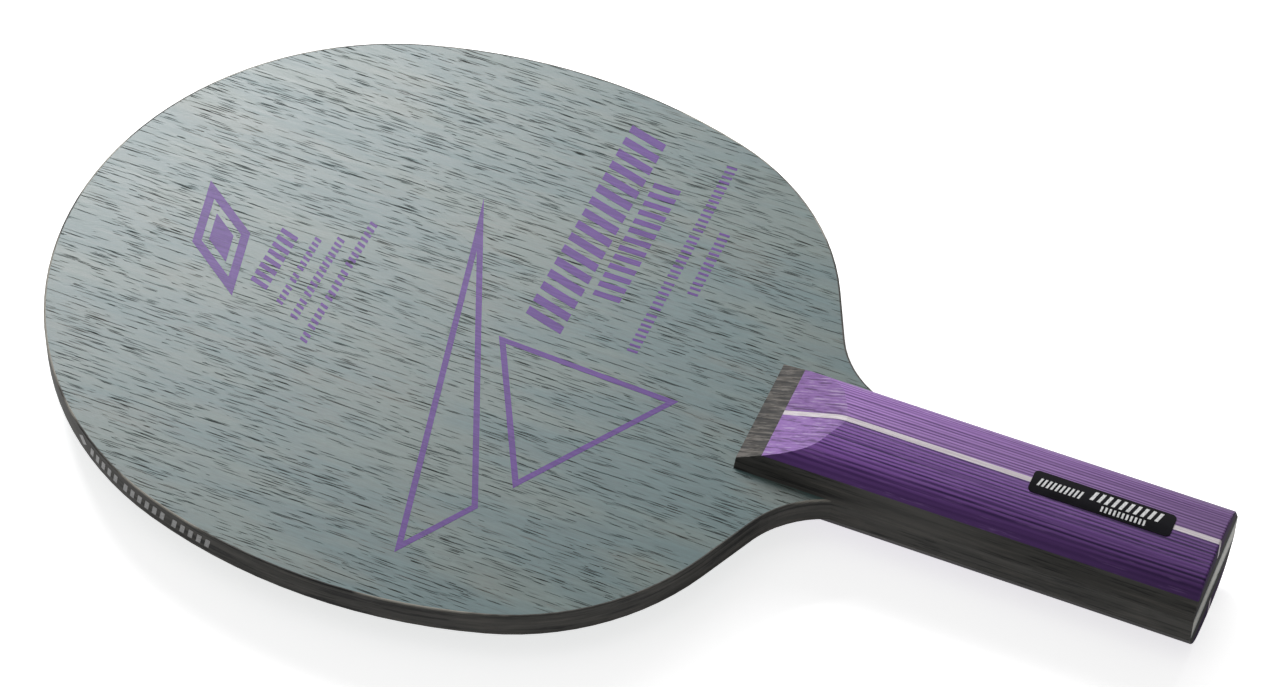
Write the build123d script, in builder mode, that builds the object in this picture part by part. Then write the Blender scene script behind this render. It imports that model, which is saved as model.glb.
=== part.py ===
from build123d import *
from math import acos, cos, degrees, radians, sin, tan
import os

# A table tennis blade: a seven-layer plywood and carbon bat without its rubber sheets.
# X runs along the bat from the tip of the head to the butt of the handle, Z is the normal of
# the front hitting face, and the origin is at the middle of the bat's length, width and thickness.
# All sizes are in millimetres and all angles in degrees.

# Overall sizes
OVERALL_LENGTH = 257.0      # tip of the head to the butt
HEAD_WIDTH = 150.0          # widest part of the head
HANDLE_LENGTH = 99.5        # foot of the handle's ramp to the butt
HANDLE_WIDTH = 29.4         # at the blade, where the handle is widest

# Thicknesses of the blade's layers, from the outside in
FACE_PLY = 0.6
CARBON_PLY = 0.2
MEDIAL_PLY = 0.9
CORE_PLY = 3.0
EDGE_BAND = 0.45            # width of the strip glued round the rim
RIM_EASE = 0.3              # sanded corner of that strip
SEAT_DEPTH = 0.05           # sanded seat under each handle scale

# Half of the head's outline: arcs that run into each other from the tip to the neck
FLANK_RADIUS = 124.7
SHOULDER_RADIUS = 57.5
NECK_RADIUS = 22.9          # hollow curve beside the handle
TIP_TURN = 72.5             # angle that each arc turns through
FLANK_TURN = 35.0
SHOULDER_TURN = 47.5
NECK_EXIT = 20.0            # angle at which the hollow curve meets the handle's side

# Handle scales
SCALE_BASE = 4.05           # thickness of the grey ply under the coloured blocks
SIDE_TILT = 30.0            # lean of the grey ply's sides
CORNER_RADIUS = 8.4         # rounding between those sides and the crown
CROWN_TURN = 12.8           # half the angle that the wide crown arc covers
STRIPE_WIDTH = 1.2          # pale strip along the middle of the crown
FOOT_HEIGHT = 2.05          # upright front edge of a scale, above the hitting face
RAMP_ANGLE = 20.6           # rise of the ramp from the hitting face
RAMP_BLEND = 10.0           # radius where the ramp rolls over onto the crown
RAMP_EXIT = 4.0             # angle left where that radius meets the crown
BUTT_EASE = 0.4             # rounded corner round the butt

# Name plate, left blank, on the front crown
LABEL_LENGTH = 30.4
LABEL_WIDTH = 5.8
LABEL_CORNER = 1.1
LABEL_THICKNESS = 0.15
LABEL_TO_BUTT = 25.2        # middle of the plate to the butt

# Derived places
BUTT_X = OVERALL_LENGTH / 2
TIP_X = -OVERALL_LENGTH / 2
FOOT_X = BUTT_X - HANDLE_LENGTH
HANDLE_Y = HANDLE_WIDTH / 2
BLADE_THICKNESS = 2 * (FACE_PLY + CARBON_PLY + MEDIAL_PLY) + CORE_PLY
FACE_Z = BLADE_THICKNESS / 2
SEAT_Z = FACE_Z - SEAT_DEPTH
BASE_Z = SEAT_Z + SCALE_BASE

# The tip's radius gives the head its width, and the neck's slope is what the three arcs leave
TIP_REST = radians(90 - TIP_TURN)
TIP_RADIUS = (HEAD_WIDTH / 2 - FLANK_RADIUS * (1 - cos(TIP_REST))) / cos(TIP_REST)
NECK_SLOPE = TIP_TURN + FLANK_TURN + SHOULDER_TURN - 90

# A scale's section goes up its leaning side, round the corner and over the crown to the middle
TILT = radians(SIDE_TILT)
TURN = radians(CROWN_TURN)
SIDE_TOP_Y = HANDLE_Y - SCALE_BASE * tan(TILT)
CORNER_TOP_Y = SIDE_TOP_Y - CORNER_RADIUS * (cos(TILT) - sin(TURN))
CORNER_TOP_Z = BASE_Z + CORNER_RADIUS * (cos(TURN) - sin(TILT))
CROWN_RADIUS = CORNER_TOP_Y / sin(TURN)
CROWN_Z = CORNER_TOP_Z + CROWN_RADIUS * (1 - cos(TURN))

# The ramp's straight part ends where its blend begins
BLEND_RISE = RAMP_BLEND * (cos(radians(RAMP_EXIT)) - cos(radians(RAMP_ANGLE)))
RAMP_RISE = CROWN_Z - FACE_Z - FOOT_HEIGHT - BLEND_RISE
OVERCUT = 5.0               # how far the ramp's cutter passes the wood

os.makedirs("parts", exist_ok=True)


def save(piece, name):
    """Label a finished piece and write its file."""
    piece.part.label = name
    export_step(piece.part, f"parts/{name}.step")


def blade_outline(inset=0.0):
    """Draw the blade in plan, inside its rim by the inset; return where the neck meets the handle."""
    side_y = HANDLE_Y - inset
    neck_radius = NECK_RADIUS + inset
    exit_cosine = (NECK_RADIUS * cos(radians(NECK_EXIT)) + inset) / neck_radius
    slope = radians(NECK_SLOPE)
    with BuildLine() as rim:
        tip = JernArc((TIP_X + inset, 0), (0, 1), TIP_RADIUS - inset, -TIP_TURN)
        flank = JernArc(tip @ 1, tip % 1, FLANK_RADIUS - inset, -FLANK_TURN)
        shoulder = JernArc(flank @ 1, flank % 1, SHOULDER_RADIUS - inset, -SHOULDER_TURN)
        neck_drop = (shoulder @ 1).Y - side_y - neck_radius * (exit_cosine - cos(slope))
        neck = PolarLine(shoulder @ 1, neck_drop / sin(slope), -NECK_SLOPE)
        root = JernArc(neck @ 1, neck % 1, neck_radius, NECK_SLOPE - degrees(acos(exit_cosine)))
        Polyline(root @ 1, (BUTT_X, side_y), (BUTT_X, 0))
        mirror(about=Plane.XZ)
    make_face(rim.edges())
    return (root @ 1).X


def handle_rectangle(start_x, mode=Mode.ADD):
    """Draw the strip that the handle covers in plan, from start_x to the butt."""
    with Locations((start_x, 0)):
        Rectangle(BUTT_X - start_x, HANDLE_WIDTH, align=(Align.MIN, Align.CENTER), mode=mode)


def cut_seats():
    """Sand the seats on both sides of the blade where the handle scales stand."""
    for seat_floor in (SEAT_Z, -FACE_Z):
        with BuildSketch(Plane.XY.offset(seat_floor)) as seat:
            handle_rectangle(FOOT_X)
        extrude(seat.sketch, amount=SEAT_DEPTH, mode=Mode.SUBTRACT)


def make_ply(name, bottom, thickness):
    """One inner layer of the blade, head and tongue in one sheet."""
    with BuildPart() as sheet:
        with BuildSketch(Plane.XY.offset(bottom)):
            blade_outline(EDGE_BAND)
        extrude(amount=thickness)
    save(sheet, name)


def make_face_ply(name, bottom):
    """One outer veneer, with its half of the handle's seat."""
    with BuildPart() as veneer:
        with BuildSketch(Plane.XY.offset(bottom)):
            blade_outline(EDGE_BAND)
        extrude(amount=FACE_PLY)
        cut_seats()
    save(veneer, name)


def make_edge_band():
    """The strip round the rim, from the butt round the head and back to the butt."""
    with BuildPart() as band:
        with BuildSketch(Plane.XY.offset(-FACE_Z)):
            neck_end = blade_outline()
            handle_rectangle(neck_end, Mode.SUBTRACT)
        extrude(amount=BLADE_THICKNESS)
        rim = band.edges().filter_by(Plane.XY).sort_by(Axis.X)[:-2]
        fillet(rim, RIM_EASE)
        with BuildSketch(Plane.XY.offset(-FACE_Z)):
            handle_rectangle(neck_end)
        extrude(amount=BLADE_THICKNESS)
        fillet(band.edges().filter_by(Axis.Z).sort_by(Axis.X)[-2:], BUTT_EASE)
        with BuildSketch(Plane.XY.offset(-FACE_Z)):
            blade_outline(EDGE_BAND)
        extrude(amount=BLADE_THICKNESS, mode=Mode.SUBTRACT)
        cut_seats()
    save(band, "edge_band")


def scale_section():
    """Draw the cross-section of one whole scale, standing on its seat."""
    with BuildLine() as section:
        side = Line((HANDLE_Y, SEAT_Z), (SIDE_TOP_Y, BASE_Z))
        corner = JernArc(side @ 1, side % 1, CORNER_RADIUS, 90 - SIDE_TILT - CROWN_TURN)
        JernArc(corner @ 1, corner % 1, CROWN_RADIUS, CROWN_TURN)
        Line((0, SEAT_Z), side @ 0)
        mirror(about=Plane.YZ)
    make_face(section.edges())


def cut_ramp():
    """Cut the ramp that leads the thumb from the hitting face onto the crown."""
    with BuildSketch(Plane.XZ) as ramp:
        with BuildLine():
            foot = (FOOT_X, FACE_Z + FOOT_HEIGHT)
            lead = PolarLine(foot, -OVERCUT, RAMP_ANGLE)
            slope = PolarLine(foot, RAMP_RISE / sin(radians(RAMP_ANGLE)), RAMP_ANGLE)
            blend = JernArc(slope @ 1, slope % 1, RAMP_BLEND, RAMP_EXIT - RAMP_ANGLE)
            run_out = PolarLine(blend @ 1, OVERCUT, RAMP_EXIT)
            top_z = CROWN_Z + OVERCUT
            Polyline(run_out @ 1, ((run_out @ 1).X, top_z), ((lead @ 1).X, top_z), lead @ 1)
        make_face()
    extrude(ramp.sketch, amount=HANDLE_WIDTH, both=True, mode=Mode.SUBTRACT)


def make_scale_piece(name, y_range, z_range):
    """One piece of the front scale and its mirror image in the back scale."""
    with BuildPart() as piece:
        with BuildSketch(Plane.YZ.offset(FOOT_X)):
            scale_section()
            with Locations((y_range[0], z_range[0])):
                size = (y_range[1] - y_range[0], z_range[1] - z_range[0])
                Rectangle(*size, align=(Align.MIN, Align.MIN), mode=Mode.INTERSECT)
        extrude(amount=HANDLE_LENGTH)
        cut_ramp()
        butt_edges = piece.faces().sort_by(Axis.X)[-1].edges()
        outer_edges = butt_edges - butt_edges.filter_by(Axis.Y) - butt_edges.filter_by(Axis.Z)
        fillet(outer_edges, BUTT_EASE)
    save(piece, f"front_{name}")
    with BuildPart() as opposite:
        mirror(piece.part, about=Plane.XY)
    save(opposite, f"back_{name}")


def make_label():
    """The blank plate, bent to the front crown."""
    label_x = BUTT_X - LABEL_TO_BUTT
    with BuildPart() as label:
        with BuildSketch(Plane.YZ.offset(label_x - LABEL_LENGTH / 2)):
            with Locations((0, CROWN_Z - CROWN_RADIUS)):
                Circle(CROWN_RADIUS + LABEL_THICKNESS)
                Circle(CROWN_RADIUS, mode=Mode.SUBTRACT)
        extrude(amount=LABEL_LENGTH)
        with BuildSketch(Plane.XY.offset(BASE_Z)):
            with Locations((label_x, 0)):
                RectangleRounded(LABEL_LENGTH, LABEL_WIDTH, LABEL_CORNER)
        extrude(amount=CROWN_Z, mode=Mode.INTERSECT)
    save(label, "name_label")


# Blade: the core, then each pair of layers outwards from it
make_ply("core_ply", -CORE_PLY / 2, CORE_PLY)
layer_z = CORE_PLY / 2
for layer, thickness in (("medial_ply", MEDIAL_PLY), ("carbon_sheet", CARBON_PLY)):
    make_ply(f"front_{layer}", layer_z, thickness)
    make_ply(f"back_{layer}", -layer_z - thickness, thickness)
    layer_z += thickness
make_face_ply("front_face_veneer", layer_z)
make_face_ply("back_face_veneer", -layer_z - FACE_PLY)
make_edge_band()

# Handle: each scale is a grey ply, two coloured blocks and the strip between them
half_stripe = STRIPE_WIDTH / 2
make_scale_piece("scale_base", (-HANDLE_Y, HANDLE_Y), (SEAT_Z, BASE_Z))
make_scale_piece("scale_left_block", (half_stripe, HANDLE_Y), (BASE_Z, CROWN_Z))
make_scale_piece("scale_right_block", (-HANDLE_Y, -half_stripe), (BASE_Z, CROWN_Z))
make_scale_piece("scale_stripe", (-half_stripe, half_stripe), (BASE_Z, CROWN_Z))
make_label()
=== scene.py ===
import math

import bmesh
import bpy
from mathutils import Matrix, Vector
from mathutils.bvhtree import BVHTree


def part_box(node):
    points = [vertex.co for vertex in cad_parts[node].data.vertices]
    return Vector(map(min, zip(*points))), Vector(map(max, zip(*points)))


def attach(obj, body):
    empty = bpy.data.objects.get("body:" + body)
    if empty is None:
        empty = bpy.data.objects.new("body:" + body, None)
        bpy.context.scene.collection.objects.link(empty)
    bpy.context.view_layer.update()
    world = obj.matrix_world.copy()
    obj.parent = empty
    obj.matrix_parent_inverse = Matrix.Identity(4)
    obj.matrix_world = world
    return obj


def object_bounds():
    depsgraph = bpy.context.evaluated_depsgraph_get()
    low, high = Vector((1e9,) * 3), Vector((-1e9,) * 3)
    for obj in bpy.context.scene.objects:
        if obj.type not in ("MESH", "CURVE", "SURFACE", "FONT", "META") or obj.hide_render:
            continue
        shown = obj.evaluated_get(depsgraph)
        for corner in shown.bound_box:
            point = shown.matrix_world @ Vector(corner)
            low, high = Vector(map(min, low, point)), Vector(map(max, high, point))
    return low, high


# A table tennis blade on a pale studio floor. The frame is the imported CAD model: X runs from the tip
# of the head to the butt of the handle, Y to the far side, and Z out of the front hitting face.
# Sizes are in metres. Materials and printed marks are given in millimetres, and converted where used.
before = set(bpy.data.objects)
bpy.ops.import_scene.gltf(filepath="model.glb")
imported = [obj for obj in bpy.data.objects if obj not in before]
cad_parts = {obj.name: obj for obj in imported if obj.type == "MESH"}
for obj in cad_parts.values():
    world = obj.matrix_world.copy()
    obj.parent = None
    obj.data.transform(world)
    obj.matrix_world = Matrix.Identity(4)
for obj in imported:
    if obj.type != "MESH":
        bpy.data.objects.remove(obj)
cad_low, cad_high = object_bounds()

MM = 0.001
ROOT = "root"

# Camera: it looks at a point beside the bat's middle, from the front and above
CAMERA_TARGET = Vector((-2.4, 10.8, 0.0)) * MM
CAMERA_DISTANCE = 979.5 * MM
CAMERA_AZIMUTH = 21.66
CAMERA_ELEVATION = 50.39
CAMERA_ROLL = -1.31
CAMERA_LENS = 130.5
SENSOR_WIDTH = 36.0

# Studio: the light that sky and floor give to the bat, and how bright the camera sees them
FILL = 0.21
SKY_SEEN = 1.0
FLOOR_SEEN = 0.72
FLOOR_HALF = 4.0
FLOOR_GAP = 0.02 * MM
WHITE = (1.0, 1.0, 1.0)

# Dyes of the face veneer and the stain round its pores, and the roughness of its lacquer
VENEER_TEAL = (0.029, 0.080, 0.085)
VENEER_GREY = (0.055, 0.096, 0.089)
VENEER_BLUSH = (0.084, 0.094, 0.075)
STAIN_COLD = (0.024, 0.036, 0.036)
STAIN_WARM = (0.056, 0.042, 0.028)
PORE_BLACK = (0.005, 0.006, 0.005)
PORE_INKED = (0.035, 0.022, 0.055)
VENEER_ROUGHNESS = 0.33

# Charcoal wood of the rim and of the handle's base plies
CHARCOAL_DARK = (0.042, 0.041, 0.037)
CHARCOAL_PALE = (0.067, 0.065, 0.060)
CHARCOAL_STREAK = (0.106, 0.098, 0.088)
CHARCOAL_GROOVE = (0.012, 0.012, 0.012)
CHARCOAL_HAIR = (0.085, 0.080, 0.073)
# A lighter tone for a stretch of the handle's sides near the foot
CHARCOAL_LIGHTER = (0.135, 0.131, 0.124)
# Pale patches on the edge band's eased corners: partly rubbed wood, partly a painted highlight
CHARCOAL_RUBBED_HIGHLIGHT = (0.25, 0.24, 0.21)
CHARCOAL_END = (0.030, 0.028, 0.027)
RAMP_DARK = (0.024, 0.021, 0.018)
RAMP_PALE = (0.080, 0.071, 0.062)
RAMP_BLACK = (0.007, 0.006, 0.006)
RAMP_FLECK = (0.165, 0.150, 0.136)

# Purple laminate: the pitch of its lines, and where its tone starts and stops fading along the handle, a
# painted falloff of light: lighter near the ramp and darker toward the butt
LAMINATE_PITCH = 0.82
FADE_FROM = 40.0
FADE_TO = 128.0
FADE_FIRST_TONE = 1.18

# Print on the hitting face, the label and the rim
INK_THICKNESS = 0.03 * MM
INK_SINK = 0.02 * MM
TRIANGLE_LINE = 1.3 * MM
LOZENGE_LINE = 1.9 * MM
LOZENGE_INNER = 0.42
RIM_CENTRE = Vector((-50.0, 0.0, 0.0)) * MM
RIM_PRINT_ANGLE = 229.5
RIM_PRINT_LENGTH = 60.0 * MM
RIM_ANGLE_STEP = 0.25


# ---------------------------------------------------------------- node helpers

class Nodes:
    """A short way to write a material: each method adds nodes and returns their output."""

    def __init__(self, name):
        self.material = bpy.data.materials.new(name)
        self.material.use_nodes = True
        self.tree = self.material.node_tree
        self.tree.nodes.clear()
        self.shader = self.tree.nodes.new("ShaderNodeBsdfPrincipled")
        output = self.tree.nodes.new("ShaderNodeOutputMaterial")
        self.tree.links.new(self.shader.outputs[0], output.inputs["Surface"])
        place = self.tree.nodes.new("ShaderNodeTexCoord")
        self.place = self.vector("SCALE", place.outputs["Object"], scale=1.0 / MM)

    def put(self, value, socket):
        """Links an output to a socket, or sets the socket to a plain value."""
        if isinstance(value, bpy.types.NodeSocket):
            self.tree.links.new(value, socket)
        elif isinstance(value, (tuple, list)) and len(value) == 3 and socket.type == "RGBA":
            socket.default_value = (*value, 1.0)
        else:
            socket.default_value = value

    def set(self, **values):
        """Sets the shader's own sockets; an underscore in a name stands for a space."""
        for name, value in values.items():
            self.put(value, self.shader.inputs[name.replace("_", " ")])

    def math(self, operation, *values, clamp=False):
        node = self.tree.nodes.new("ShaderNodeMath")
        node.operation = operation
        node.use_clamp = clamp
        for socket, value in zip(node.inputs, values):
            self.put(value, socket)
        return node.outputs[0]

    def total(self, *parts):
        """The sum of the parts. A part is a value, or a (value, weight) pair."""
        terms = [self.math("MULTIPLY", *part) if isinstance(part, tuple) else part for part in parts]
        result = terms[0]
        for term in terms[1:]:
            result = self.math("ADD", result, term)
        return result

    def vector(self, operation, *values, scale=None):
        node = self.tree.nodes.new("ShaderNodeVectorMath")
        node.operation = operation
        for socket, value in zip(node.inputs, values):
            self.put(value, socket)
        if scale is not None:
            self.put(scale, node.inputs["Scale"])
        return node.outputs[0]

    def split(self, value):
        node = self.tree.nodes.new("ShaderNodeSeparateXYZ")
        self.put(value, node.inputs[0])
        return node.outputs

    def join(self, x, y, z):
        node = self.tree.nodes.new("ShaderNodeCombineXYZ")
        for socket, value in zip(node.inputs, (x, y, z)):
            self.put(value, socket)
        return node.outputs[0]

    def stretch(self, lengths, seed=0.0, place=None):
        """The place divided by a length for each axis, in millimetres, and shifted by a seed."""
        node = self.tree.nodes.new("ShaderNodeMapping")
        self.put(self.place if place is None else place, node.inputs["Vector"])
        node.inputs["Scale"].default_value = [1.0 / length for length in lengths]
        node.inputs["Location"].default_value = (seed, seed * 1.7, seed * 2.3)
        return node.outputs[0]

    def noise(self, lengths, detail=2.0, roughness=0.5, seed=0.0, place=None):
        """Noise whose features are about half of each length, in millimetres."""
        node = self.tree.nodes.new("ShaderNodeTexNoise")
        self.put(self.stretch(lengths, seed, place), node.inputs["Vector"])
        node.inputs["Scale"].default_value = 1.0
        node.inputs["Detail"].default_value = detail
        node.inputs["Roughness"].default_value = roughness
        return node.outputs[0]

    def remap(self, value, low, high, to_low=0.0, to_high=1.0, smooth=True):
        """Takes low..high to to_low..to_high, and holds the ends beyond."""
        node = self.tree.nodes.new("ShaderNodeMapRange")
        node.interpolation_type = "SMOOTHSTEP" if smooth else "LINEAR"
        for socket, number in zip(node.inputs, (value, low, high, to_low, to_high)):
            self.put(number, socket)
        return node.outputs[0]

    def mix(self, factor, first, second, blend="MIX"):
        node = self.tree.nodes.new("ShaderNodeMix")
        node.data_type = "RGBA"
        node.blend_type = blend
        node.clamp_factor = True
        self.put(factor, node.inputs[0])
        self.put(first, node.inputs[6])
        self.put(second, node.inputs[7])
        return node.outputs[2]

    def shade(self, colour, tone):
        """The colour times a number."""
        return self.mix(1.0, colour, self.join(tone, tone, tone), "MULTIPLY")

    def bump(self, height, distance, strength):
        """Raises the surface by the height times the distance, in millimetres."""
        node = self.tree.nodes.new("ShaderNodeBump")
        node.inputs["Strength"].default_value = strength
        node.inputs["Distance"].default_value = distance * MM
        self.put(height, node.inputs["Height"])
        return node.outputs[0]

    def pores(self, place, cell, length, width, present, seed):
        """Tapering grooves along X, at most one in a cell: 1 along a groove's middle and 0 outside.

        cell is (x, y), length and width are (least, most) half sizes of a groove, and present is the
        share of cells that have one."""
        space = self.stretch((cell[0], cell[1], 1.0), seed, place)
        node = self.tree.nodes.new("ShaderNodeTexVoronoi")
        node.voronoi_dimensions = "2D"
        node.inputs["Scale"].default_value = 1.0
        self.put(space, node.inputs["Vector"])
        away = self.split(self.vector("SUBTRACT", space, node.outputs["Position"]))
        random = self.split(node.outputs["Color"])
        reach = self.remap(random[0], 0.0, 1.0, length[0] / cell[0], length[1] / cell[0], False)
        thick = self.remap(random[1], 0.0, 1.0, width[0] / cell[1], width[1] / cell[1], False)
        along = self.math("POWER", self.math("DIVIDE", away[0], reach), 2.0)
        across = self.math("DIVIDE", self.math("ABSOLUTE", away[1]), thick)
        groove = self.math("SUBTRACT", self.math("SUBTRACT", 1.0, along), across, clamp=True)
        shown = self.math("LESS_THAN", random[2], present)
        faint = self.math("FRACT", self.math("MULTIPLY", random[0], 7.31))
        shown = self.math("MULTIPLY", shown, self.remap(faint, 0.0, 1.0, 0.35, 1.0, False))
        return self.math("MULTIPLY", self.math("POWER", groove, 0.4), shown)

    def facing(self, axis):
        """How far the surface faces along an axis: 0 for X, 1 for Y and 2 for Z."""
        normal = self.tree.nodes.new("ShaderNodeNewGeometry").outputs["True Normal"]
        return self.split(normal)[axis]

    def cut_face(self):
        """1 on the ramp, whose cut slants through the wood's layers, and 0 elsewhere."""
        return self.remap(self.facing(0), -0.03, -0.32)

    def end_grain(self):
        """1 on the sawn butt, where the wood takes in more dye and is rough, and 0 elsewhere."""
        return self.remap(self.facing(0), 0.70, 0.95)


# ---------------------------------------------------------------- face veneer and its print

def veneer_grain(m):
    """The open-pored grain of the face veneers: (swaying place, pore depth, fine fibre)."""
    sway = m.noise((40, 14, 30), detail=2, seed=3.1)
    sway = m.remap(sway, 0.0, 1.0, -0.5, 0.5, smooth=False)
    place = m.vector("ADD", m.place, m.join(0.0, sway, 0.0))
    cluster = m.noise((16, 6.0, 40), detail=3, roughness=0.6, seed=8.4)
    often = m.remap(cluster, 0.38, 0.62, 0.32, 0.94)
    rarely = m.remap(cluster, 0.45, 0.62, 0.14, 0.88)
    layers = (
        m.pores(place, (8.8, 1.00), (1.5, 3.4), (0.06, 0.110), often, 1.0),
        m.pores(place, (7.4, 0.86), (1.2, 2.8), (0.055, 0.100), often, 31.7),
        m.pores(place, (9.6, 1.15), (1.6, 3.6), (0.055, 0.105), rarely, 63.5),
        m.pores(place, (15.0, 2.2), (3.0, 6.4), (0.055, 0.100), 0.6, 44.9),
    )
    depth = layers[0]
    for layer in layers[1:]:
        depth = m.math("MAXIMUM", depth, layer)
    fibre = m.noise((13, 0.62, 3), detail=3, roughness=0.65, seed=11.0, place=place)
    return place, depth, fibre


def veneer_material():
    """Blue-grey dyed veneer under satin lacquer, with dark open pores."""
    m = Nodes("veneer_dyed_grey")
    place, depth, fibre = veneer_grain(m)
    patch = m.noise((46, 11, 60), detail=3, roughness=0.55, seed=5.2, place=place)
    blush = m.noise((34, 9, 60), detail=3, roughness=0.55, seed=21.0, place=place)
    speck = m.noise((1.8, 0.50, 1), detail=2, roughness=0.6, seed=2.2, place=place)
    colour = m.mix(m.remap(patch, 0.40, 0.62), VENEER_TEAL, VENEER_GREY)
    colour = m.mix(m.remap(blush, 0.52, 0.70, 0.0, 0.32), colour, VENEER_BLUSH)
    tone = m.remap(fibre, 0.30, 0.70, 0.84, 1.16, smooth=False)
    tone = m.math("MULTIPLY", tone, m.remap(speck, 0.25, 0.75, 0.92, 1.08, smooth=False))
    colour = m.shade(colour, tone)
    stain = m.mix(m.remap(blush, 0.46, 0.64), STAIN_COLD, STAIN_WARM)
    colour = m.mix(m.remap(depth, 0.0, 0.35, 0.0, 0.65), colour, stain)
    colour = m.mix(m.remap(depth, 0.2, 0.7), colour, PORE_BLACK)
    m.set(Base_Color=colour)
    rough = m.remap(fibre, 0.3, 0.7, VENEER_ROUGHNESS - 0.03, VENEER_ROUGHNESS + 0.05, smooth=False)
    m.set(Roughness=m.math("ADD", rough, m.remap(depth, 0.1, 0.6, 0.0, 0.55), clamp=True))
    m.set(Normal=m.bump(m.math("SUBTRACT", m.math("MULTIPLY", fibre, 0.10), depth), 0.06, 0.6))
    return m.material


def print_material(name, ink, pale):
    """Matte ink over the veneer: the pores take it thinly and show through."""
    m = Nodes(name)
    depth, fibre = veneer_grain(m)[1:]
    cover = m.noise((0.9, 0.5, 1), detail=3, roughness=0.6, seed=7.7)
    colour = m.mix(m.remap(fibre, 0.3, 0.7), ink, pale)
    colour = m.mix(m.remap(cover, 0.58, 0.75, 0.0, 0.35), colour, pale)
    colour = m.mix(m.remap(depth, 0.15, 0.8, 0.0, 0.5), colour, PORE_INKED)
    m.set(Base_Color=colour, Specular_IOR_Level=0.27)
    m.set(Roughness=m.remap(cover, 0.2, 0.8, 0.36, 0.44, smooth=False))
    height = m.math("SUBTRACT", m.math("MULTIPLY", fibre, 0.10), m.math("MULTIPLY", depth, 0.6))
    m.set(Normal=m.bump(height, 0.04, 0.5))
    return m.material


# ---------------------------------------------------------------- other woods and carbon

def charcoal_material(name, along, seed, handle):
    """Charcoal dyed wood. along is the streaks' length in X and Y, and they are thin in Z.

    handle adds a lighter stretch near the foot, the streaks of the ramp and the dark end grain. Without
    it the eased corners get pale patches, partly rubbed wood and partly a painted highlight."""
    m = Nodes(name)
    x, y = along
    broad = m.noise((x * 2, y * 4, 2.6), detail=3, roughness=0.6, seed=seed)
    layer = m.noise((x, y * 2.5, 0.75), detail=4, roughness=0.65, seed=seed + 4)
    ray = m.noise((x * 0.8, y * 0.7, 4), detail=4, roughness=0.65, seed=seed + 9)
    hair = m.noise((x * 0.3, y * 0.5, 0.45), detail=2, roughness=0.7, seed=seed + 13)
    grain = m.total((layer, 0.65), (ray, 0.35))
    colour = m.mix(m.remap(broad, 0.36, 0.64), CHARCOAL_DARK, CHARCOAL_PALE)
    colour = m.mix(m.remap(grain, 0.50, 0.62, 0.0, 0.6), colour, CHARCOAL_STREAK)
    colour = m.mix(m.remap(grain, 0.485, 0.40, 0.0, 0.85), colour, CHARCOAL_GROOVE)
    colour = m.mix(m.remap(hair, 0.58, 0.76, 0.0, 0.4), colour, CHARCOAL_HAIR)
    if handle:
        from_tip = m.split(m.place)[0]
        # A lighter stretch of the sides, about 46 to 90 mm from the tip
        lighter_stretch = m.math("MULTIPLY", m.remap(from_tip, 46.0, 64.0), m.remap(from_tip, 90.0, 70.0, 0.0, 0.42))
        fleck = m.noise((6.5, 0.62, 6), detail=3, roughness=0.7, seed=seed + 19)
        bare = m.mix(m.remap(ray, 0.43, 0.58), RAMP_DARK, RAMP_PALE)
        bare = m.mix(m.remap(fleck, 0.50, 0.42), bare, RAMP_BLACK)
        bare = m.mix(m.remap(fleck, 0.54, 0.62, 0.0, 0.6), bare, RAMP_FLECK)
        colour = m.mix(lighter_stretch, colour, CHARCOAL_LIGHTER)
        colour = m.mix(m.cut_face(), colour, bare)
        colour = m.mix(m.end_grain(), colour, CHARCOAL_END)
    else:
        # Painted highlight on the eased corners, in noisy pale patches that also stand for rubbed wood
        corner = m.remap(m.math("ABSOLUTE", m.facing(2)), 0.15, 0.50)
        rubbed_highlight = m.remap(m.noise((26, 26, 40), detail=3, seed=seed + 31), 0.50, 0.60)
        colour = m.mix(m.math("MULTIPLY", corner, rubbed_highlight), colour, CHARCOAL_RUBBED_HIGHLIGHT)
    m.set(Base_Color=colour, Specular_IOR_Level=0.25)
    rough = m.remap(grain, 0.3, 0.7, 0.50, 0.66, smooth=False)
    m.set(Roughness=m.total(rough, (m.end_grain(), 0.30)))
    m.set(Normal=m.bump(m.total(grain, (hair, 0.4)), 0.08, 0.5))
    return m.material


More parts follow.
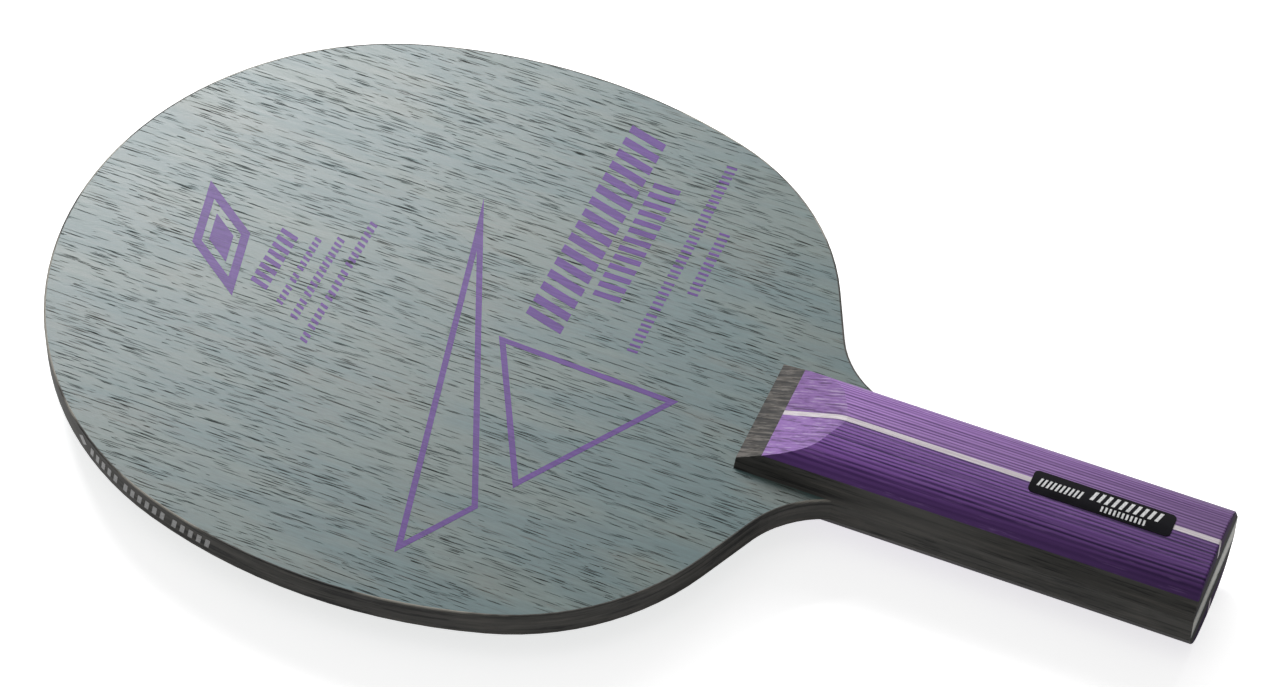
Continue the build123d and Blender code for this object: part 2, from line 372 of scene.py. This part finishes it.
def block_material(name, dark, light, bare, butt_tone, seed):
    """Purple dyed laminate whose thin layers stand on edge, as lines along the handle.

    dark and light are the lines. bare is the colour of the ramp, where the cut slants through the
    layers. butt_tone is how light the block is painted at the butt, the dark end of a painted falloff
    of light along the handle."""
    m = Nodes(name)
    x, y, z = m.split(m.place)
    waver = m.noise((60, 3.2, 6), detail=2, seed=seed)
    patchy = m.noise((30, 1.6, 5), detail=2, seed=seed + 3)
    layer = m.noise((90, 0.62, 3.0), detail=3, roughness=0.7, seed=seed + 7)
    fuzz = m.noise((10, 0.50, 4), detail=3, roughness=0.7, seed=seed + 11)
    broad = m.noise((60, 4, 9), detail=2, seed=seed + 17)
    scuff = m.noise((4.0, 0.48, 5), detail=3, roughness=0.7, seed=seed + 23)
    cut = m.cut_face()
    end = m.end_grain()

    # Lines: 0 on a dark one and 1 on a light one, weaker down the sides than over the crown
    phase = m.total(m.math("DIVIDE", y, LAMINATE_PITCH), (waver, 1.5))
    wave = m.math("SINE", m.math("MULTIPLY", phase, 2 * math.pi))
    wave = m.math("MULTIPLY", wave, m.remap(patchy, 0.3, 0.7, 0.35, 1.0))
    level = m.math("ADD", m.math("MULTIPLY", wave, 0.72),
                   m.remap(layer, 0.36, 0.64, 0.26, 0.86, smooth=False), clamp=True)
    crown = m.remap(m.math("ABSOLUTE", z), 8.0, 10.6, 0.15, 1.0)
    level = m.math("ADD", 0.42, m.math("MULTIPLY", m.math("SUBTRACT", level, 0.42), crown))
    lines = m.mix(level, dark, light)
    lines = m.mix(m.remap(fuzz, 0.55, 0.70, 0.0, 0.6), lines, bare)

    # Ramp: short streaks, darker and paler than the bare colour
    streak = m.total((fuzz, 0.5), (scuff, 0.5), (m.math("SUBTRACT", level, 0.5), 0.08))
    ramp = m.mix(m.remap(streak, 0.51, 0.41, 0.0, 0.95), bare, [0.42 * c for c in bare])
    ramp = m.mix(m.remap(streak, 0.53, 0.62, 0.0, 0.45), ramp, [0.30 + 0.62 * c for c in bare])

    colour = m.mix(cut, lines, ramp)
    colour = m.mix(m.math("MULTIPLY", end, 0.8), colour, [0.5 * c for c in dark])
    # Painted shade: the block is lighter near the ramp and darker toward the butt, where the light falls
    # off
    painted_falloff = m.remap(x, FADE_FROM, FADE_TO, FADE_FIRST_TONE, butt_tone, smooth=False)
    tone = m.math("MULTIPLY", m.remap(broad, 0.3, 0.7, 0.93, 1.07, smooth=False), painted_falloff)
    m.set(Base_Color=m.shade(colour, tone), Specular_IOR_Level=0.22)
    rough = m.remap(fuzz, 0.3, 0.7, 0.42, 0.56, smooth=False)
    m.set(Roughness=m.total(rough, (cut, 0.16), (end, 0.40)))
    height = m.total((level, 0.5), (fuzz, 0.5), (scuff, m.math("MULTIPLY", cut, 0.6)))
    m.set(Normal=m.bump(height, 0.08, 0.7))
    return m.material


def pale_wood_material(name, dark, light, lengths, seed):
    """Undyed or faintly tinted wood with fine grain."""
    m = Nodes(name)
    x, y, z = lengths
    grain = m.noise((x, y, z), detail=4, roughness=0.62, seed=seed)
    speck = m.noise((x * 0.08, y * 0.7, z * 0.7), detail=3, roughness=0.65, seed=seed + 6)
    colour = m.mix(m.remap(grain, 0.32, 0.68), dark, light)
    colour = m.mix(m.remap(speck, 0.58, 0.8, 0.0, 0.6), colour, [0.45 * c for c in dark])
    m.set(Base_Color=colour)
    m.set(Roughness=m.remap(grain, 0.25, 0.75, 0.48, 0.62, smooth=False))
    m.set(Normal=m.bump(m.total(grain, speck), 0.05, 0.5))
    return m.material


def carbon_material():
    """Woven black fibre in resin, seen as a thin dark line at the butt."""
    m = Nodes("carbon_weave")
    x, y = m.split(m.stretch((1.6, 1.6, 1.6)))[:2]
    tow = m.math("FRACT", m.math("MULTIPLY", m.math("ADD", x, y), 0.5))
    fibre = m.noise((2.5, 0.12, 0.12), detail=2, seed=4)
    shade = m.total((tow, 0.5), (fibre, 0.5))
    m.set(Base_Color=m.mix(m.remap(shade, 0.2, 0.8), (0.006, 0.006, 0.007), (0.03, 0.03, 0.032)))
    m.set(Roughness=m.remap(fibre, 0.2, 0.8, 0.28, 0.45, smooth=False))
    m.set(Normal=m.bump(shade, 0.03, 0.5))
    return m.material


# ---------------------------------------------------------------- label and light inks

def label_material():
    """Black satin plate with faint clouding and dust."""
    m = Nodes("label_gloss_black")
    cloud = m.noise((5, 3, 5), detail=3, seed=6)
    dust = m.noise((0.25, 0.25, 0.25), detail=2, roughness=0.7, seed=12)
    colour = m.mix(m.remap(cloud, 0.3, 0.7), (0.0012, 0.0010, 0.0024), (0.0030, 0.0026, 0.0055))
    colour = m.mix(m.remap(dust, 0.68, 0.8, 0.0, 0.3), colour, (0.030, 0.030, 0.036))
    m.set(Base_Color=colour, Specular_IOR_Level=0.05)
    m.set(Roughness=m.remap(cloud, 0.25, 0.75, 0.32, 0.42, smooth=False))
    m.set(Normal=m.bump(cloud, 0.02, 0.4))
    return m.material


def silver_ink_material(name, dark, light):
    """Pale ink with uneven cover, used on the label and the rim."""
    m = Nodes(name)
    cover = m.noise((0.35, 0.35, 0.35), detail=3, roughness=0.6, seed=9)
    m.set(Base_Color=m.mix(m.remap(cover, 0.3, 0.7), dark, light))
    m.set(Roughness=m.remap(cover, 0.2, 0.8, 0.32, 0.5, smooth=False))
    m.set(Normal=m.bump(cover, 0.02, 0.4))
    return m.material


# ---------------------------------------------------------------- printed marks

def surface_of(node):
    """A tree of the CAD node's triangles, for finding its surface by rays."""
    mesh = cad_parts[node].data
    corners = [vertex.co.copy() for vertex in mesh.vertices]
    return BVHTree.FromPolygons(corners, [tuple(face.vertices) for face in mesh.polygons])


def lay_on_top(node):
    """A function from (x, y) to the point and normal on top of the node."""
    surface = surface_of(node)
    start_z = cad_high.z + 10 * MM

    def place(x, y):
        return surface.ray_cast(Vector((x, y, start_z)), Vector((0, 0, -1)))[:2]
    return place


def add_plate(bm, rails, steps, place, closed=False):
    """Adds a thin plate laid on a surface. Each rail is a (first, second) pair of plan points across
    the plate, cut into steps, and the rails follow each other along it. closed joins the last rail
    to the first."""
    low, high = [], []
    for first, second in rails:
        spots = [Vector(first).lerp(Vector(second), step / steps) for step in range(steps + 1)]
        found = [place(*spot) for spot in spots]
        low.append([bm.verts.new(point - normal * INK_SINK) for point, normal in found])
        high.append([bm.verts.new(point + normal * INK_THICKNESS) for point, normal in found])
    count = len(rails)
    for i in range(count if closed else count - 1):
        k = (i + 1) % count
        for j in range(steps):
            bm.faces.new((high[i][j], high[k][j], high[k][j + 1], high[i][j + 1]))
            bm.faces.new((low[i][j + 1], low[k][j + 1], low[k][j], low[i][j]))
        bm.faces.new((low[i][0], low[k][0], high[k][0], high[i][0]))
        bm.faces.new((high[i][steps], high[k][steps], low[k][steps], low[i][steps]))
    if not closed:
        for j in range(steps):
            bm.faces.new((low[0][j + 1], low[0][j], high[0][j], high[0][j + 1]))
            bm.faces.new((low[-1][j], low[-1][j + 1], high[-1][j + 1], high[-1][j]))


def add_lozenge(bm, tips, steps, place):
    """Adds a filled lozenge. Its four tips go round it."""
    add_plate(bm, [(tips[0], tips[1]), (tips[3], tips[2])], steps, place)


def add_outline(bm, corners, width, place):
    """Adds a closed polygon drawn as a line of one width, mitred at its corners."""
    count = len(corners)
    turn = math.copysign(1, sum(corners[i - 1].cross(corners[i]) for i in range(count)))
    rails = []
    for i, corner in enumerate(corners):
        before = (corner - corners[i - 1]).normalized()
        after = (corners[(i + 1) % count] - corner).normalized()
        across = Vector((-after.y, after.x)) * turn
        inward = (across + Vector((-before.y, before.x)) * turn).normalized()
        rails.append((corner, corner + inward * width / inward.dot(across)))
    add_plate(bm, rails, 1, place, closed=True)


def add_bars(bm, start, reading, rising, words, size, slant, place, steps=1):
    """Adds a row of equal slanted bars from start, which is in metres.

    words holds the number of bars in each group, and size is (height, bar, gap) in millimetres."""
    height, bar, gap = (length * MM for length in size)
    along = Vector(reading).normalized()
    top = Vector(rising).normalized() * height + along * slant * height
    spot = Vector(start)
    for count in words:
        for _ in range(count):
            end = spot + along * bar
            add_plate(bm, [(spot, spot + top), (end, end + top)], steps, place)
            spot = spot + along * (bar + gap)
        spot = spot + along * bar


def finish_piece(name, bm, material):
    """Turns a bmesh into a piece that rides on the bat."""
    bmesh.ops.recalc_face_normals(bm, faces=bm.faces)
    mesh = bpy.data.meshes.new(name)
    bm.to_mesh(mesh)
    bm.free()
    mesh.materials.append(material)
    piece = bpy.data.objects.new(name, mesh)
    bpy.context.scene.collection.objects.link(piece)
    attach(piece, ROOT)


def flat(*places):
    """Plan points in millimetres as vectors in metres."""
    return [Vector(place) * MM for place in places]


def print_face(ink):
    """The print on the front face. The lozenge and the rows of bars are generic. The two outlined
    triangles are not: their corners follow the photo's within 1.5 mm, and they wait to be replaced."""
    place = lay_on_top("front_face_veneer")

    for name, corners in (
        ("print_tall_triangle", flat((-48.0, 32.5), (-15.0, -45.0), (-26.0, -62.0))),
        ("print_wide_triangle", flat((-29.5, -1.5), (12.0, -3.0), (-10.5, -37.5))),
    ):
        bm = bmesh.new()
        add_outline(bm, corners, TRIANGLE_LINE, place)
        finish_piece(name, bm, ink)

    middle, long_axis, short_axis = flat((-95.0, 0.0), (9.2, -13.8), (5.2, 3.5))
    tips = (long_axis, short_axis, -long_axis, -short_axis)
    bm = bmesh.new()
    add_outline(bm, [middle + tip for tip in tips], LOZENGE_LINE, place)
    add_lozenge(bm, [middle + tip * LOZENGE_INNER for tip in tips], 1, place)
    finish_piece("print_lozenge", bm, ink)

    reading, rising = (0, 1), (-1, 0)
    rows = (
        # name, foot of the row, bars in each group, (height, bar, gap), slant
        ("print_bold_bars", (-79.8, -9.5), (8,), (4.4, 1.2, 0.90), 0.30),
        ("print_small_row_1", (-74.9, -12.0), (4, 2, 7), (1.7, 0.75, 0.70), 0.35),
        ("print_small_row_2", (-70.3, -14.5), (4, 12), (1.9, 0.75, 0.75), 0.35),
        ("print_small_row_3", (-65.7, -19.5), (2, 5, 6, 9), (1.9, 0.80, 0.75), 0.35),
        ("print_large_bars", (-17.8, 4.0), (16,), (9.0, 2.15, 1.60), 0.28),
        ("print_middle_bars", (-9.7, 16.8), (13,), (6.2, 1.45, 1.30), 0.0),
        ("print_fine_row_1", (-0.9, 5.5), (8, 6, 9, 14), (2.4, 0.65, 0.85), 0.0),
        ("print_fine_row_2", (4.8, 25.0), (13,), (2.4, 0.65, 0.85), 0.0),
    )
    for name, start, words, size, slant in rows:
        bm = bmesh.new()
        add_bars(bm, Vector(start) * MM, reading, rising, words, size, slant, place)
        finish_piece(name, bm, ink)


def print_label(ink):
    """Generic silver bars on the label, in one group at its head and two rows beside it."""
    place = lay_on_top("name_label")
    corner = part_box("name_label")[0].xy
    bm = bmesh.new()
    rows = (
        # start from the label's corner, bars in each group, (height, bar, gap), slant
        ((1.4, 1.95), (10,), (2.0, 0.48, 0.48), 0.25),
        ((12.5, 2.65), (10,), (2.4, 0.72, 0.82), 0.30),
        ((15.4, 0.65), (11,), (1.4, 0.45, 0.45), 0.0),
    )
    for start, words, size, slant in rows:
        add_bars(bm, Vector(start) * MM + corner, (1, 0), (0, 1), words, size, slant, place)
    finish_piece("label_bars", bm, ink)


def lay_round_rim():
    """A function from (distance along the rim, height) to the point and normal on the edge band."""
    surface = surface_of("edge_band")
    reach = cad_high.x - cad_low.x
    first_angle = math.radians(RIM_PRINT_ANGLE)
    step = math.radians(RIM_ANGLE_STEP)

    def meet(angle, height):
        out = Vector((math.cos(angle), math.sin(angle), 0))
        start = RIM_CENTRE + out * reach + Vector((0, 0, height))
        return surface.ray_cast(start, -out)[:2]

    walk = [0.0]
    point = meet(first_angle, 0)[0]
    while walk[-1] < RIM_PRINT_LENGTH:
        following = meet(first_angle + len(walk) * step, 0)[0]
        walk.append(walk[-1] + (following - point).length)
        point = following

    def place(distance, height):
        i = max(k for k in range(len(walk) - 1) if walk[k] <= max(distance, 0.0))
        share = (distance - walk[i]) / (walk[i + 1] - walk[i])
        return meet(first_angle + (i + share) * step, height)
    return place


def print_rim(ink):
    """A generic lozenge and three groups of slanted bars on the near side of the edge band."""
    place = lay_round_rim()
    bm = bmesh.new()
    middle, long_axis, short_axis = flat((1.6, 0.2), (1.6, 0.0), (0.0, 1.5))
    tips = (-long_axis, -short_axis, long_axis, short_axis)
    add_lozenge(bm, [middle + tip for tip in tips], 2, place)
    start = Vector((4.6, -1.25)) * MM
    add_bars(bm, start, (1, 0), (0, 1), (5, 6, 5), (2.7, 1.1, 1.05), 0.25, place, steps=2)
    finish_piece("rim_bars", bm, ink)


# ---------------------------------------------------------------- studio

def make_camera():
    azimuth = math.radians(CAMERA_AZIMUTH)
    elevation = math.radians(CAMERA_ELEVATION)
    roll = math.radians(CAMERA_ROLL)
    back = Vector((math.sin(azimuth) * math.cos(elevation),
                   -math.cos(azimuth) * math.cos(elevation), math.sin(elevation)))
    right = Vector((math.cos(azimuth), math.sin(azimuth), 0))
    up = back.cross(right)
    turned_right = right * math.cos(roll) - up * math.sin(roll)
    turned_up = right * math.sin(roll) + up * math.cos(roll)
    data = bpy.data.cameras.new("camera")
    data.lens = CAMERA_LENS
    data.sensor_width = SENSOR_WIDTH
    camera = bpy.data.objects.new("camera", data)
    turn = Matrix((turned_right, turned_up, back)).transposed().to_4x4()
    camera.matrix_world = Matrix.Translation(CAMERA_TARGET + back * CAMERA_DISTANCE) @ turn
    bpy.context.scene.collection.objects.link(camera)
    bpy.context.scene.camera = camera


def soft_light(name, place, aim, size, power):
    """A square white light of one size, in metres, aimed at a point."""
    data = bpy.data.lights.new(name, "AREA")
    data.shape = "SQUARE"
    data.size = size
    data.energy = power
    light = bpy.data.objects.new(name, data)
    light.location = place
    light.rotation_euler = (Vector(aim) - Vector(place)).to_track_quat("-Z", "Y").to_euler()
    bpy.context.scene.collection.objects.link(light)


def make_sky():
    """A plain white sky, dimmer as a light than as the camera sees it."""
    world = bpy.data.worlds.new("studio")
    world.use_nodes = True
    tree = world.node_tree
    background = tree.nodes["Background"]
    path = tree.nodes.new("ShaderNodeLightPath")
    strength = tree.nodes.new("ShaderNodeMapRange")
    strength.inputs["To Min"].default_value = FILL
    strength.inputs["To Max"].default_value = SKY_SEEN
    tree.links.new(path.outputs["Is Camera Ray"], strength.inputs["Value"])
    tree.links.new(strength.outputs[0], background.inputs["Strength"])
    background.inputs["Color"].default_value = (*WHITE, 1)
    bpy.context.scene.world = world


def make_floor():
    """A pale floor just under the handle, which glows a little so that it reads as white."""
    bm = bmesh.new()
    z = cad_low.z - FLOOR_GAP
    corners = ((-1, -1), (1, -1), (1, 1), (-1, 1))
    bm.faces.new([bm.verts.new((x * FLOOR_HALF, y * FLOOR_HALF, z)) for x, y in corners])
    mesh = bpy.data.meshes.new("floor")
    bm.to_mesh(mesh)
    bm.free()
    floor = bpy.data.objects.new("floor", mesh)
    bpy.context.scene.collection.objects.link(floor)
    m = Nodes("floor_pale")
    tone = m.noise((300, 300, 300), detail=2, seed=1)
    m.set(Base_Color=m.mix(tone, (0.80, 0.80, 0.80), (0.83, 0.83, 0.83)), Roughness=0.8)
    seen = m.tree.nodes.new("ShaderNodeLightPath").outputs["Is Camera Ray"]
    m.set(Emission_Color=WHITE, Emission_Strength=m.remap(seen, 0.0, 1.0, FILL, FLOOR_SEEN, smooth=False))
    mesh.materials.append(m.material)


def make_studio():
    """A big soft light behind the head's left side, a weaker one behind the handle and one above."""
    soft_light("key", (-0.62, 0.76, 0.736), (-0.04, 0.02, 0.0), 0.52, 14.8)
    soft_light("side", (-0.04, 0.75, 0.66), (0.02, 0.03, 0.0), 0.5, 2.5)
    soft_light("top", (-0.10, -0.25, 1.3), (0.0, 0.0, 0.0), 0.9, 1.6)
    make_sky()
    make_floor()
    bpy.context.scene.view_settings.view_transform = "Standard"


# ---------------------------------------------------------------- assembly

def dress(materials):
    """Gives every CAD node the material of its kind of piece, on the front and the back alike."""
    for name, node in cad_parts.items():
        piece = name.removeprefix("front_").removeprefix("back_")
        node.data.materials.clear()
        node.data.materials.append(materials[piece])


dress({
    "face_veneer": veneer_material(),
    "carbon_sheet": carbon_material(),
    "medial_ply": pale_wood_material(
        "ply_medial", (0.27, 0.27, 0.235), (0.39, 0.385, 0.345), lengths=(30, 0.7, 0.5), seed=3),
    "core_ply": pale_wood_material(
        "ply_core", (0.37, 0.365, 0.32), (0.50, 0.49, 0.455), lengths=(26, 0.9, 0.9), seed=14),
    "edge_band": charcoal_material("edge_charcoal", along=(16, 16), seed=5, handle=False),
    "scale_base": charcoal_material("scale_charcoal", along=(24, 0.8), seed=27, handle=True),
    "scale_left_block": block_material(
        "block_far_purple", dark=(0.070, 0.022, 0.125), light=(0.300, 0.155, 0.425),
        bare=(0.185, 0.092, 0.275), butt_tone=0.55, seed=2),
    "scale_right_block": block_material(
        "block_near_purple", dark=(0.030, 0.008, 0.072), light=(0.192, 0.076, 0.320),
        bare=(0.220, 0.114, 0.330), butt_tone=0.70, seed=40),
    "scale_stripe": pale_wood_material(
        "stripe_pale", (0.40, 0.35, 0.38), (0.60, 0.55, 0.58), lengths=(18, 0.25, 0.8), seed=8),
    "name_label": label_material(),
})
print_face(print_material("ink_purple", (0.061, 0.008, 0.172), (0.089, 0.020, 0.220)))
print_label(silver_ink_material("ink_silver", (0.42, 0.42, 0.43), (0.66, 0.66, 0.66)))
print_rim(silver_ink_material("ink_grey", (0.24, 0.24, 0.24), (0.42, 0.42, 0.42)))
make_camera()
make_studio()
